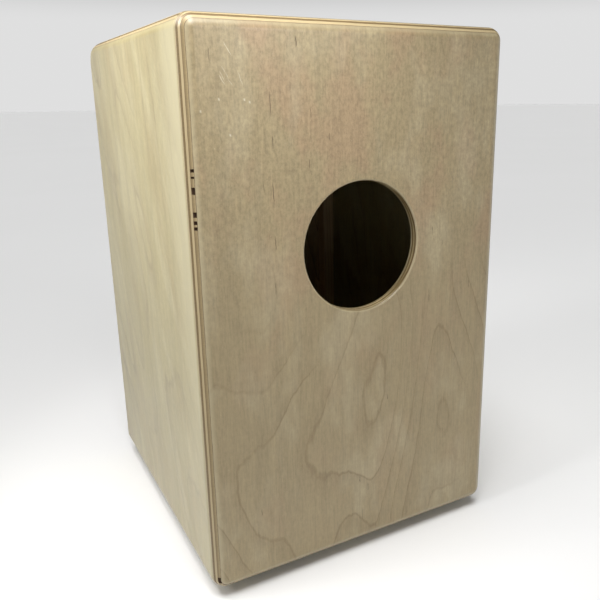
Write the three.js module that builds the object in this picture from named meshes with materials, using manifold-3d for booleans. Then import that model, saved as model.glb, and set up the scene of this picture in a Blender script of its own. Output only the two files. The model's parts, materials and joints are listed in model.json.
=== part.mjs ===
// A cajon: a plywood box drum that the player sits on, with a thin playing face (the tapa),
// a round sound hole in the rear panel and a snare bar that tilts inside, behind the tapa.
//
// Millimetres. +Z is up and the rubber feet stand on z = 0. The tapa faces -Y and the rear
// panel faces +Y. Left and right are the seated player's, who looks along -Y: left is +X.

import * as THREE from 'three';
import { mergeVertices } from 'three/addons/utils/BufferGeometryUtils.js';
import Module from 'manifold-3d';

const wasm = await Module();
wasm.setup();

// ---------------------------------------------------------------- driving dimensions

const WIDTH = 303;
const DEPTH = 326;
const BODY_HEIGHT = 480;
const PLY = 9.5;
const TAPA_THICKNESS = 3;

const CORNER_RADIUS = 12.4;
const REAR_ROUNDOVER = 12;
const NOSE_RADIUS = 32;
const TAPA_ROUNDOVER = 2.5;

const HOLE_RADIUS = 57;
const HOLE_ABOVE_BASE = 295;
const HOLE_ROUNDOVER = 2;

const BATTEN = 15;
const NOSE_RAIL_DEPTH = 25;
const NOSE_RAIL_HEIGHT = 34;

const FOOT = { height: 9, topRadius: 17, bottomRadius: 15.5, recessRadius: 7, recessDepth: 4.5, inset: 38 };

const SNARE = {
  axisAboveBase: 346,
  axisBehindTapa: 12.2,
  barSize: 18,
  barCorner: 2,
  tenonRadius: 6,
  tenonLength: 13,
  shoulderGap: 0.5,
  blockThickness: 18,
  blockDepth: 24,
  blockInFront: 10,
  blockCorner: 2,
  blockHeight: 40,
  blockScrewSpacing: 28,
  setOffset: 52,
  plateWidth: 64,
  plateHeight: 14,
  plateThickness: 1,
  plateCorner: 1.5,
  wires: 10,
  wirePitch: 6,
  wireRadius: 1,
  wireSink: 0.2,
  wireStart: 3,
  wireEnd: 80,
  plateScrewDrop: 1.5,
  plateScrewSpread: 22,
};

const GAP = 0.3;

// How finely round work is divided.
const OUTLINE_SEGMENTS = 6;
const NOSE_SEGMENTS = 12;
const REAR_ROUNDOVER_SEGMENTS = 6;
const TAPA_ROUNDOVER_SEGMENTS = 2;
const HOLE_SEGMENTS = 72;
const HOLE_ROUNDOVER_SEGMENTS = 3;
const SCREW_SEGMENTS = 12;
const FOOT_SEGMENTS = 24;
const TENON_SEGMENTS = 36;
const WIRE_SEGMENTS = 8;

// Screws: shank radius, length under the head's top, head radius and head height.
const TAPA_SCREW = { shank: 1.6, length: 12, head: 3.4, headHeight: 2, countersunk: true };
const BLOCK_SCREW = { shank: 1.8, length: 29, head: 3.6, headHeight: 2.2, countersunk: true };
const FOOT_SCREW = { shank: 2, length: 14.5, head: 4.6, headHeight: 2.4, countersunk: false };
const PLATE_SCREW = { shank: 1.3, length: 10.2, head: 2.6, headHeight: 1.2, countersunk: false };

const TAPA_SCREW_ROWS = 5;
const TAPA_SCREW_RAIL_X = 45;
const TAPA_SCREW_BELOW_NOSE = 5;

// ---------------------------------------------------------------- places that follow

const HALF_WIDTH = WIDTH / 2;
const FRONT = -DEPTH / 2;
const REAR = DEPTH / 2;
const BASE = FOOT.height;
const TOP = BASE + BODY_HEIGHT;

const INNER_X = HALF_WIDTH - PLY;
const TAPA_BACK = FRONT + TAPA_THICKNESS;
const REAR_INNER = REAR - PLY;
const BASE_INNER = BASE + PLY;
const TOP_INNER = TOP - PLY;

const BATTEN_X = INNER_X - BATTEN;
const NOSE_RAIL_BOTTOM = TOP_INNER - NOSE_RAIL_HEIGHT;
const SNARE_Y = TAPA_BACK + SNARE.axisBehindTapa;
const SNARE_Z = BASE + SNARE.axisAboveBase;
const BLOCK_INNER_X = BATTEN_X - SNARE.blockThickness;

const LEFT = new THREE.Vector3(1, 0, 0);
const RIGHT = new THREE.Vector3(-1, 0, 0);
const FORWARD = new THREE.Vector3(0, -1, 0);
const UP = new THREE.Vector3(0, 0, 1);
const DOWN = new THREE.Vector3(0, 0, -1);

// ---------------------------------------------------------------- materials

function material(color, roughness, metalness = 0) {
  return new THREE.MeshStandardMaterial({ color, roughness, metalness });
}

const MATERIALS = {
  rearPly: () => material(0xa3916f, 0.45),
  sidePly: () => material(0xddc9a0, 0.45),
  tapaVeneer: () => material(0xc79f6a, 0.4),
  pine: () => material(0xd8bd8c, 0.7),
  beech: () => material(0xc8a071, 0.6),
  rubber: () => material(0x1c1c1d, 0.85),
  steel: () => material(0xb9bbbd, 0.35, 1),
  blackSteel: () => material(0x2a2a2c, 0.45, 1),
};

// ---------------------------------------------------------------- solids

// A closed three.js geometry as a solid that can be cut and joined.
function solid(geometry) {
  const bare = geometry.clone();
  bare.deleteAttribute('normal');
  bare.deleteAttribute('uv');
  const merged = mergeVertices(bare, 1e-4);
  const vertProperties = new Float32Array(merged.attributes.position.array);
  const triVerts = new Uint32Array(merged.index.array);
  return new wasm.Manifold(new wasm.Mesh({ numProp: 3, vertProperties, triVerts }));
}

function geometryOf(body) {
  const mesh = body.getMesh();
  const geometry = new THREE.BufferGeometry();
  geometry.setAttribute('position', new THREE.BufferAttribute(new Float32Array(mesh.vertProperties), 3));
  geometry.setIndex(new THREE.BufferAttribute(new Uint32Array(mesh.triVerts), 1));
  geometry.computeVertexNormals();
  return geometry;
}

// A box given by its lowest and highest corners.
function boxSolid([x0, y0, z0], [x1, y1, z1]) {
  const geometry = new THREE.BoxGeometry(x1 - x0, y1 - y0, z1 - z0);
  geometry.translate((x0 + x1) / 2, (y0 + y1) / 2, (z0 + z1) / 2);
  return solid(geometry);
}

// A shape drawn in X and Z, pushed from y = start towards -Y.
function extrudeTowardsFront(shape, start, options) {
  const geometry = new THREE.ExtrudeGeometry(shape, { bevelEnabled: false, ...options });
  geometry.applyMatrix4(new THREE.Matrix4().makeBasis(LEFT, UP, FORWARD));
  geometry.translate(0, start, 0);
  return geometry;
}

// A shape drawn in Y and Z, pushed from x = start towards +X.
function extrudeTowardsLeft(shape, start, options) {
  const geometry = new THREE.ExtrudeGeometry(shape, { bevelEnabled: false, ...options });
  geometry.applyMatrix4(new THREE.Matrix4().makeBasis(new THREE.Vector3(0, 1, 0), UP, LEFT));
  geometry.translate(start, 0, 0);
  return geometry;
}

// A profile of [radius, height] points turned about the Z axis.
function turned(profile, segments) {
  const points = profile.map(([radius, height]) => new THREE.Vector2(radius, height));
  const geometry = new THREE.LatheGeometry(points, segments);
  geometry.rotateX(Math.PI / 2);
  return geometry;
}

// The rotation that turns a piece made along +Z to point along another direction.
function pointing(direction) {
  return new THREE.Quaternion().setFromUnitVectors(UP, direction);
}

function moved(geometry, position, direction) {
  const place = new THREE.Matrix4().compose(position, pointing(direction), new THREE.Vector3(1, 1, 1));
  return geometry.clone().applyMatrix4(place);
}

function cut(body, cutters) {
  return cutters.reduce((rest, cutter) => rest.subtract(cutter), body);
}

const cajon = new THREE.Group();
cajon.name = 'cajon';

function addPiece(parent, name, geometry, finish) {
  const mesh = new THREE.Mesh(geometry, finish());
  mesh.name = name;
  parent.add(mesh);
  return mesh;
}

// ---------------------------------------------------------------- outlines

// A rectangle with round corners, from its lowest corner.
function roundedRectangle(x0, y0, width, height, radius) {
  const x1 = x0 + width;
  const y1 = y0 + height;
  const shape = new THREE.Shape();
  shape.moveTo(x0 + radius, y0);
  shape.lineTo(x1 - radius, y0);
  shape.absarc(x1 - radius, y0 + radius, radius, -Math.PI / 2, 0);
  shape.lineTo(x1, y1 - radius);
  shape.absarc(x1 - radius, y1 - radius, radius, 0, Math.PI / 2);
  shape.lineTo(x0 + radius, y1);
  shape.absarc(x0 + radius, y1 - radius, radius, Math.PI / 2, Math.PI);
  shape.lineTo(x0, y0 + radius);
  shape.absarc(x0 + radius, y0 + radius, radius, Math.PI, 1.5 * Math.PI);
  return shape;
}

// The body seen from behind, and from its left side with the round nose at the top front.
const rearOutline = roundedRectangle(-HALF_WIDTH, BASE, WIDTH, BODY_HEIGHT, CORNER_RADIUS);

function sideOutline() {
  const shape = new THREE.Shape();
  shape.moveTo(FRONT, BASE);
  shape.lineTo(REAR, BASE);
  shape.lineTo(REAR, TOP);
  shape.lineTo(FRONT + NOSE_RADIUS, TOP);
  shape.absarc(FRONT + NOSE_RADIUS, TOP - NOSE_RADIUS, NOSE_RADIUS, Math.PI / 2, Math.PI);
  shape.lineTo(FRONT, BASE);
  return shape;
}

// The outline as a solid with a quarter-round at the rear face, and at the front face too when
// it isn't run past it. The roundover is a little smaller than the corners that it follows.
function outlineWithRoundover(radius, segments, pastFront = 0) {
  return solid(extrudeTowardsFront(rearOutline, REAR - radius, {
    depth: DEPTH - 2 * radius + pastFront,
    curveSegments: OUTLINE_SEGMENTS,
    bevelEnabled: true,
    bevelThickness: radius,
    bevelSize: radius,
    bevelOffset: -radius,
    bevelSegments: segments,
  }));
}

// A carcass panel is cut to both of these: the round long and rear edges, and the nose.
const roundedEdges = outlineWithRoundover(REAR_ROUNDOVER, REAR_ROUNDOVER_SEGMENTS, 2 * REAR_ROUNDOVER);
const roundedNose = solid(extrudeTowardsLeft(sideOutline(), -HALF_WIDTH, {
  depth: WIDTH,
  curveSegments: NOSE_SEGMENTS,
}));

// ---------------------------------------------------------------- screws

const SCREW_POINT = 2;
const HEAD_RIM = 0.3;
const RECESS_ARM = 0.9;
const POCKET_OPENING = 5;

// A countersunk head is a cone with a thin straight rim; a pan head is a disc with a round top.
function headProfile({ shank, head, headHeight, countersunk }) {
  if (countersunk) {
    return [[shank, -headHeight], [head, -HEAD_RIM], [head, 0]];
  }
  const dome = [[head, -0.6 * headHeight], [0.75 * head, -0.1 * headHeight], [0.6 * head, 0]];
  return [[shank, -headHeight], [head, -headHeight], ...dome];
}

function screwProfile(screw) {
  const { shank, length } = screw;
  const point = [[0, -length], [0.2 * shank, -length], [shank, -length + SCREW_POINT]];
  return [...point, ...headProfile(screw), [0, 0]];
}

// A screw along Z, its head's top at z = 0 and its point down, with a cross recess.
function screwGeometry(screw) {
  const arm = screw.head * 1.2;
  const depth = Math.min(screw.headHeight * 0.6, 1.2);
  const recess = [[arm, RECESS_ARM], [RECESS_ARM, arm]].map(([x, y]) =>
    boxSolid([-x / 2, -y / 2, -depth], [x / 2, y / 2, 1]));
  return geometryOf(cut(solid(turned(screwProfile(screw), SCREW_SEGMENTS)), recess));
}

// The hole that a screw sits in: its own form, larger all round, and open above the head.
function screwPocket(screw, position, direction) {
  const shank = screw.shank + GAP;
  const head = screw.head + GAP;
  const end = -screw.length - GAP;
  const cone = [[shank, -screw.headHeight - GAP], [head, -HEAD_RIM]];
  const step = [[shank, -screw.headHeight], [head, -screw.headHeight]];
  const shoulder = screw.countersunk ? cone : step;
  const mouth = [[head, POCKET_OPENING], [0, POCKET_OPENING]];
  const profile = [[0, end], [shank, end], ...shoulder, ...mouth];
  return solid(moved(turned(profile, SCREW_SEGMENTS), position, direction));
}

function pockets(screw, places) {
  return places.map(({ position, direction }) => screwPocket(screw, position, direction));
}

function addScrews(parent, screw, places, finish) {
  for (const { name, position, direction } of places) {
    const mesh = addPiece(parent, name, screwGeometry(screw), finish);
    mesh.position.copy(position);
    mesh.quaternion.copy(pointing(direction));
  }
}

// ---------------------------------------------------------------- where the screws go

const SIDES = [['left', 1], ['right', -1]];

// Screws round the tapa: a column down each front batten, and a pair in each cross rail.
function tapaScrewPlaces() {
  const low = BASE_INNER + BATTEN / 2;
  const high = TOP - NOSE_RADIUS - TAPA_SCREW_BELOW_NOSE;
  const pitch = (high - low) / (TAPA_SCREW_ROWS - 1);
  const places = [];
  for (const [side, sign] of SIDES) {
    for (let row = 0; row < TAPA_SCREW_ROWS; row += 1) {
      const x = sign * (INNER_X - BATTEN / 2);
      const position = new THREE.Vector3(x, FRONT, low + row * pitch);
      places.push({ name: `tapa_screw_${side}_${row + 1}`, position, direction: FORWARD });
    }
    for (const [rail, z] of [['bottom', low], ['top', high]]) {
      const position = new THREE.Vector3(sign * TAPA_SCREW_RAIL_X, FRONT, z);
      places.push({ name: `tapa_screw_${rail}_${side}`, position, direction: FORWARD });
    }
  }
  return places;
}

function footPlaces() {
  const places = [];
  for (const [side, sign] of SIDES) {
    for (const [end, y] of [['front', FRONT + FOOT.inset], ['rear', REAR - FOOT.inset]]) {
      places.push({ label: `${end}_${side}`, x: sign * (HALF_WIDTH - FOOT.inset), y });
    }
  }
  return places;
}

function footScrewPlaces() {
  return footPlaces().map(({ label, x, y }) => {
    const position = new THREE.Vector3(x, y, FOOT.recessDepth - FOOT_SCREW.headHeight);
    return { name: `foot_screw_${label}`, position, direction: DOWN };
  });
}

// Two screws through each snare block into the front batten beside it.
function blockScrewPlaces() {
  const places = [];
  for (const [side, sign] of SIDES) {
    for (const [level, step] of [['lower', -1], ['upper', 1]]) {
      const z = SNARE_Z + step * SNARE.blockScrewSpacing / 2;
      const position = new THREE.Vector3(sign * BLOCK_INNER_X, SNARE_Y, z);
      const direction = sign > 0 ? RIGHT : LEFT;
      places.push({ name: `snare_block_screw_${side}_${level}`, position, direction });
    }
  }
  return places;
}

// Two screws hold each snare set's plate on the front of the bar. Places are from the bar's axis.
function plateScrewPlaces() {
  const places = [];
  for (const [side, sign] of SIDES) {
    for (const [end, step] of [['inner', -1], ['outer', 1]]) {
      const x = sign * (SNARE.setOffset + step * SNARE.plateScrewSpread);
      const y = -SNARE.barSize / 2 - SNARE.plateThickness - PLATE_SCREW.headHeight;
      const position = new THREE.Vector3(x, y, -SNARE.plateScrewDrop);
      places.push({ name: `snare_screw_${side}_${end}`, position, direction: FORWARD });
    }
  }
  return places;
}

const TAPA_SCREWS = tapaScrewPlaces();
const FOOT_SCREWS = footScrewPlaces();
const BLOCK_SCREWS = blockScrewPlaces();
const PLATE_SCREWS = plateScrewPlaces();
const tapaPockets = pockets(TAPA_SCREW, TAPA_SCREWS);
const footPockets = pockets(FOOT_SCREW, FOOT_SCREWS);
const blockPockets = pockets(BLOCK_SCREW, BLOCK_SCREWS);

// ---------------------------------------------------------------- panels

// The sound hole through the rear panel, widening to its outer face by a quarter-round.
function soundHoleCutter() {
  const overrun = 5;
  const profile = [[0, -PLY - overrun], [HOLE_RADIUS, -PLY - overrun]];
  for (let step = 0; step <= HOLE_ROUNDOVER_SEGMENTS; step += 1) {
    const angle = (step / HOLE_ROUNDOVER_SEGMENTS) * (Math.PI / 2);
    const radius = HOLE_RADIUS + HOLE_ROUNDOVER * (1 - Math.cos(angle));
    profile.push([radius, -HOLE_ROUNDOVER * (1 - Math.sin(angle))]);
  }
  profile.push([HOLE_RADIUS + HOLE_ROUNDOVER, overrun], [0, overrun]);
  const place = new THREE.Vector3(0, REAR, BASE + HOLE_ABOVE_BASE);
  return solid(moved(turned(profile, HOLE_SEGMENTS), place, new THREE.Vector3(0, 1, 0)));
}

function addRearPanel() {
  const slab = boxSolid([-HALF_WIDTH - 1, REAR_INNER, BASE - 1], [HALF_WIDTH + 1, REAR + 1, TOP + 1]);
  const body = slab.intersect(roundedEdges).subtract(soundHoleCutter());
  addPiece(cajon, 'rear_panel', geometryOf(body), MATERIALS.rearPly);
}

function addTapa() {
  const slab = boxSolid([-HALF_WIDTH - 1, FRONT - 1, BASE - 1], [HALF_WIDTH + 1, TAPA_BACK, TOP + 1]);
  const rounded = outlineWithRoundover(TAPA_ROUNDOVER, TAPA_ROUNDOVER_SEGMENTS);
  const body = rounded.intersect(slab).intersect(roundedNose);
  addPiece(cajon, 'tapa', geometryOf(cut(body, tapaPockets)), MATERIALS.tapaVeneer);
}

function addSidePanels() {
  for (const [side, sign] of SIDES) {
    const x = [sign * INNER_X, sign * HALF_WIDTH].sort((a, b) => a - b);
    const slab = boxSolid([x[0], TAPA_BACK, BASE], [x[1], REAR_INNER, TOP]);
    const body = slab.intersect(roundedEdges).intersect(roundedNose);
    addPiece(cajon, `side_panel_${side}`, geometryOf(body), MATERIALS.sidePly);
  }
}

function addTopPanel() {
  const slab = boxSolid([-INNER_X, TAPA_BACK, TOP_INNER], [INNER_X, REAR_INNER, TOP]);
  const body = slab.intersect(roundedEdges).intersect(roundedNose);
  addPiece(cajon, 'top_panel', geometryOf(body), MATERIALS.sidePly);
}

function addBottomPanel() {
  const slab = boxSolid([-INNER_X, TAPA_BACK, BASE], [INNER_X, REAR_INNER, BASE_INNER]);
  const body = cut(slab.intersect(roundedEdges), footPockets);
  addPiece(cajon, 'bottom_panel', geometryOf(body), MATERIALS.sidePly);
}

// ---------------------------------------------------------------- battens inside the corners

// The rail behind the nose is rounded with it and takes the top screws of the tapa.
function addNoseRail() {
  const low = [-INNER_X, TAPA_BACK, NOSE_RAIL_BOTTOM];
  const high = [INNER_X, TAPA_BACK + NOSE_RAIL_DEPTH, TOP_INNER];
  const body = boxSolid(low, high).intersect(roundedNose);
  addPiece(cajon, 'front_top_rail', geometryOf(cut(body, tapaPockets)), MATERIALS.beech);
}

function addFrontBattens() {
  const y = [TAPA_BACK, TAPA_BACK + BATTEN];
  for (const [side, sign] of SIDES) {
    const x = [sign * BATTEN_X, sign * INNER_X].sort((a, b) => a - b);
    const body = boxSolid([x[0], y[0], BASE_INNER], [x[1], y[1], NOSE_RAIL_BOTTOM]);
    const drilled = cut(body, [...tapaPockets, ...blockPockets]);
    addPiece(cajon, `front_batten_${side}`, geometryOf(drilled), MATERIALS.pine);
  }
  const cross = boxSolid([-BATTEN_X, y[0], BASE_INNER], [BATTEN_X, y[1], BASE_INNER + BATTEN]);
  addPiece(cajon, 'front_batten_bottom', geometryOf(cut(cross, tapaPockets)), MATERIALS.pine);
}

function addRearBattens() {
  const y = [REAR_INNER - BATTEN, REAR_INNER];
  for (const [side, sign] of SIDES) {
    const x = [sign * BATTEN_X, sign * INNER_X].sort((a, b) => a - b);
    const body = boxSolid([x[0], y[0], BASE_INNER], [x[1], y[1], TOP_INNER]);
    addPiece(cajon, `rear_batten_${side}`, geometryOf(body), MATERIALS.pine);
  }
  for (const [end, z] of [['bottom', BASE_INNER], ['top', TOP_INNER - BATTEN]]) {
    const body = boxSolid([-BATTEN_X, y[0], z], [BATTEN_X, y[1], z + BATTEN]);
    addPiece(cajon, `rear_batten_${end}`, geometryOf(body), MATERIALS.pine);
  }
}

// ---------------------------------------------------------------- feet

// A rubber foot, hollowed from below for its screw's head. The profile runs round the section.
function addFeet() {
  const bore = FOOT_SCREW.shank + GAP;
  const edge = 0.8;
  const profile = [
    [bore, FOOT.recessDepth],
    [FOOT.recessRadius, FOOT.recessDepth],
    [FOOT.recessRadius, 0],
    [FOOT.bottomRadius - edge, 0],
    [FOOT.bottomRadius, edge],
    [FOOT.topRadius, FOOT.height],
    [bore, FOOT.height],
    [bore, FOOT.recessDepth],
  ];
  for (const { label, x, y } of footPlaces()) {
    const foot = addPiece(cajon, `foot_${label}`, turned(profile, FOOT_SEGMENTS), MATERIALS.rubber);
    foot.position.set(x, y, 0);
  }
}

// ---------------------------------------------------------------- snare bar and its blocks

function addSnareBlocks() {
  const tenonHole = new THREE.CylinderGeometry(
    SNARE.tenonRadius + GAP / 2, SNARE.tenonRadius + GAP / 2, 2 * (SNARE.tenonLength + 1), TENON_SEGMENTS);
  tenonHole.rotateZ(Math.PI / 2);
  for (const [side, sign] of SIDES) {
    const low = [-SNARE.blockInFront, -SNARE.blockHeight / 2];
    const outline = roundedRectangle(...low, SNARE.blockDepth, SNARE.blockHeight, SNARE.blockCorner);
    const start = sign > 0 ? BLOCK_INNER_X : -BATTEN_X;
    const body = extrudeTowardsLeft(outline, start, { depth: SNARE.blockThickness, curveSegments: 3 });
    body.translate(0, SNARE_Y, SNARE_Z);
    const hole = tenonHole.clone().translate(sign * BLOCK_INNER_X, SNARE_Y, SNARE_Z);
    const drilled = cut(solid(body), [solid(hole), ...blockPockets]);
    addPiece(cajon, `snare_block_${side}`, geometryOf(drilled), MATERIALS.beech);
  }
}

// The bar: a square beech bar with a round tenon at each end, drilled for the plate screws.
function snareBarGeometry() {
  const half = SNARE.barSize / 2;
  const barEnd = BLOCK_INNER_X - SNARE.shoulderGap;
  const outline = roundedRectangle(-half, -half, SNARE.barSize, SNARE.barSize, SNARE.barCorner);
  const bar = solid(extrudeTowardsLeft(outline, -barEnd, { depth: 2 * barEnd, curveSegments: 3 }));
  const length = 2 * (barEnd + SNARE.tenonLength);
  const tenons = new THREE.CylinderGeometry(SNARE.tenonRadius, SNARE.tenonRadius, length, TENON_SEGMENTS);
  tenons.rotateZ(Math.PI / 2);
  return geometryOf(cut(bar.add(solid(tenons)), pockets(PLATE_SCREW, PLATE_SCREWS)));
}

// One snare set: straight snare wires side by side, joined to a drilled steel end plate.
function snareSetGeometry(places) {
  const face = -SNARE.barSize / 2;
  const centre = (places[0].position.x + places[1].position.x) / 2;
  const low = [centre - SNARE.plateWidth / 2, -SNARE.plateHeight / 2];
  const outline = roundedRectangle(...low, SNARE.plateWidth, SNARE.plateHeight, SNARE.plateCorner);
  const plate = extrudeTowardsFront(outline, face, { depth: SNARE.plateThickness, curveSegments: 3 });
  const length = SNARE.wireEnd - SNARE.wireStart;
  const wire = new THREE.CylinderGeometry(SNARE.wireRadius, SNARE.wireRadius, length, WIRE_SEGMENTS);
  const wireY = face - SNARE.plateThickness - SNARE.wireRadius + SNARE.wireSink;
  wire.rotateX(Math.PI / 2);
  wire.translate(0, wireY, SNARE.wireStart + length / 2);
  let body = cut(solid(plate), pockets(PLATE_SCREW, places));
  for (let index = 0; index < SNARE.wires; index += 1) {
    const x = centre + (index - (SNARE.wires - 1) / 2) * SNARE.wirePitch;
    body = body.add(solid(wire.clone().translate(x, 0, 0)));
  }
  return geometryOf(body);
}

// Everything that tilts together is made about the bar's axis and placed as one group.
function addSnareCarriage() {
  const carriage = new THREE.Group();
  carriage.position.set(0, SNARE_Y, SNARE_Z);
  addPiece(carriage, 'snare_bar', snareBarGeometry(), MATERIALS.beech);
  for (const [side] of SIDES) {
    const places = PLATE_SCREWS.filter(({ name }) => name.includes(side));
    addPiece(carriage, `snare_set_${side}`, snareSetGeometry(places), MATERIALS.steel);
  }
  addScrews(carriage, PLATE_SCREW, PLATE_SCREWS, MATERIALS.steel);
  cajon.add(carriage);
}

// ---------------------------------------------------------------- assembly

addRearPanel();
addTapa();
addSidePanels();
addTopPanel();
addBottomPanel();
addNoseRail();
addFrontBattens();
addRearBattens();
addScrews(cajon, TAPA_SCREW, TAPA_SCREWS, MATERIALS.blackSteel);
addFeet();
addScrews(cajon, FOOT_SCREW, FOOT_SCREWS, MATERIALS.steel);
addSnareBlocks();
addScrews(cajon, BLOCK_SCREW, BLOCK_SCREWS, MATERIALS.steel);
addSnareCarriage();

export default cajon;
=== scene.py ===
import json
import math
import random

import bmesh
import bpy
from mathutils import Matrix, Vector


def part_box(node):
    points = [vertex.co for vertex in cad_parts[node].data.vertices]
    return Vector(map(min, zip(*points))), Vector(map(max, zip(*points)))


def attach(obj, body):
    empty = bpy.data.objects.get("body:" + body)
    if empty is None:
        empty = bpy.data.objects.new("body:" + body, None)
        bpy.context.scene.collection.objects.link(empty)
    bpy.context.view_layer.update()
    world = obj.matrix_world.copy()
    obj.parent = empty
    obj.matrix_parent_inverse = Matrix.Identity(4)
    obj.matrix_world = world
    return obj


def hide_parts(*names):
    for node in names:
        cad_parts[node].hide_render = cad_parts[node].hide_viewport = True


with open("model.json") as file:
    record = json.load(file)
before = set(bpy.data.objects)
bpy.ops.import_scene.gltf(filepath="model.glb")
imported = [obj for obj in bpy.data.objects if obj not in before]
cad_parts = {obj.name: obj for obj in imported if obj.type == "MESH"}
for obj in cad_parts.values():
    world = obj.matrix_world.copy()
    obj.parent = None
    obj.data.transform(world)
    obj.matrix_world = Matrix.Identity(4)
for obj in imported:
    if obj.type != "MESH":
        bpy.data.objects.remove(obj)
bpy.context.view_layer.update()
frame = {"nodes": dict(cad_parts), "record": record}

# A cajon in birch plywood, seen from behind and from its left. Metres in the scene, and
# millimetres inside the material graphs, where grain and plies have their real sizes.

MM = 0.001
scene = bpy.context.scene

# ---------------------------------------------------------------- sizes

REAR_LOW, REAR_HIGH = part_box("rear_panel")
TAPA_LOW, TAPA_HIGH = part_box("tapa")
TOP_LOW, TOP_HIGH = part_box("top_panel")
BOTTOM_LOW, BOTTOM_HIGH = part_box("bottom_panel")

HALF_WIDTH = TAPA_HIGH.x
FRONT = TAPA_LOW.y
TAPA_BACK = TAPA_HIGH.y
REAR = REAR_HIGH.y
REAR_INNER = REAR_LOW.y
BASE = TAPA_LOW.z
TOP = TOP_HIGH.z
INNER_X = TOP_HIGH.x
TOP_INNER = TOP_LOW.z
BASE_INNER = BOTTOM_HIGH.z
PANEL = REAR - REAR_INNER

OPENINGS = {o["name"]: o["box_m"] for o in frame["record"]["physics"]["openings"]}
HOLE_LOW, HOLE_HIGH = OPENINGS["sound_hole"]
HOLE_Z = (HOLE_LOW[2] + HOLE_HIGH[2]) / 2

CORNER_RADIUS = 12.4 * MM
REAR_ROUNDOVER = 12 * MM
NOSE_RADIUS = 32 * MM
TAPA_ROUNDOVER = 2.5 * MM
HOLE_RADIUS = 57 * MM
HOLE_ROUNDOVER = 2 * MM
JOINT_EDGE = 0.1 * MM

# Rough blocks stand past the body's form by SPARE before it trims them, and the forms and
# cutters themselves run past the body by MARGIN.
SPARE = 1 * MM
MARGIN = 10 * MM

# Points closer than this are one point, in metres.
MESH_WELD = 1e-7
SOLID_WELD = 1e-6
# Edges that turn by more than this many degrees stay sharp.
SHARP_ANGLE = 50

CORNER_STEPS = 16
ROUNDOVER_STEPS = 16
NOSE_STEPS = 40
HOLE_STEPS = 144
HOLE_EDGE_STEPS = 10

# ---------------------------------------------------------------- meshes


def add_mesh(name, vertices, faces):
    mesh = bpy.data.meshes.new(name)
    mesh.from_pydata([tuple(v) for v in vertices], [], faces)
    mesh.validate()
    made = bmesh.new()
    made.from_mesh(mesh)
    bmesh.ops.remove_doubles(made, verts=made.verts, dist=MESH_WELD)
    bmesh.ops.recalc_face_normals(made, faces=made.faces)
    made.to_mesh(mesh)
    made.free()
    piece = bpy.data.objects.new(name, mesh)
    scene.collection.objects.link(piece)
    return piece


def loft(name, rings):
    """A closed solid through rings of points that match one to one, with flat ends."""
    count = len(rings[0])
    vertices = [point for ring in rings for point in ring]
    faces = []
    for r in range(len(rings) - 1):
        for i in range(count):
            j = (i + 1) % count
            faces.append((r * count + i, r * count + j, (r + 1) * count + j, (r + 1) * count + i))
    faces.append(tuple(range(count)))
    faces.append(tuple(range((len(rings) - 1) * count, len(rings) * count)))
    return add_mesh(name, vertices, faces)


def lathe(name, profile, steps=32):
    """A profile of (radius, height) turned about Z. A radius of zero closes an end."""
    rings = []
    for radius, height in profile:
        turns = [2 * math.pi * i / steps for i in range(steps)]
        rings.append([(radius * math.cos(a), radius * math.sin(a), height) for a in turns])
    return loft(name, rings)


def block(name, low, high):
    (x0, y0, z0), (x1, y1, z1) = low, high
    ring = [(x0, y0), (x1, y0), (x1, y1), (x0, y1)]
    return loft(name, [[(x, y, z) for x, y in ring] for z in (z0, z1)])


def bake_modifiers(piece):
    """Replaces a piece's mesh with the result of its modifiers."""
    bpy.context.view_layer.update()
    graph = bpy.context.evaluated_depsgraph_get()
    mesh = bpy.data.meshes.new_from_object(piece.evaluated_get(graph))
    piece.modifiers.clear()
    old, piece.data = piece.data, mesh
    mesh.name = piece.name
    bpy.data.meshes.remove(old)


def boolean(piece, cutter, operation, keep=False):
    modifier = piece.modifiers.new(operation, "BOOLEAN")
    modifier.operation = operation
    modifier.solver = "EXACT"
    modifier.material_mode = "TRANSFER"
    modifier.object = cutter
    bake_modifiers(piece)
    if not keep:
        bpy.data.objects.remove(cutter)


def smooth_shading(piece, edge=JOINT_EDGE, angle=32, segments=2):
    """Breaks the sharp edges by a small bevel and shades the rest smooth."""
    made = bmesh.new()
    made.from_mesh(piece.data)
    bmesh.ops.remove_doubles(made, verts=made.verts, dist=SOLID_WELD)
    bmesh.ops.dissolve_degenerate(made, edges=made.edges, dist=SOLID_WELD)
    made.to_mesh(piece.data)
    made.free()
    if edge:
        bevel = piece.modifiers.new("edge", "BEVEL")
        bevel.width = edge
        bevel.segments = segments
        bevel.limit_method = "ANGLE"
        bevel.angle_limit = math.radians(angle)
        bake_modifiers(piece)
    piece.data.shade_smooth()
    piece.data.set_sharp_from_angle(angle=math.radians(SHARP_ANGLE))
    normals = piece.modifiers.new("normals", "WEIGHTED_NORMAL")
    normals.keep_sharp = True
    bake_modifiers(piece)


def wear_material(piece, material):
    """Gives the whole piece one material."""
    piece.data.materials.clear()
    piece.data.materials.append(material)
    for face in piece.data.polygons:
        face.material_index = 0


def place_piece(piece, node, body, material=None):
    if material:
        wear_material(piece, material)
    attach(piece, body)
    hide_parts(node)


def pointing(direction):
    return Vector((0, 0, 1)).rotation_difference(Vector(direction)).to_matrix().to_4x4()


# ---------------------------------------------------------------- material graphs


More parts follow.
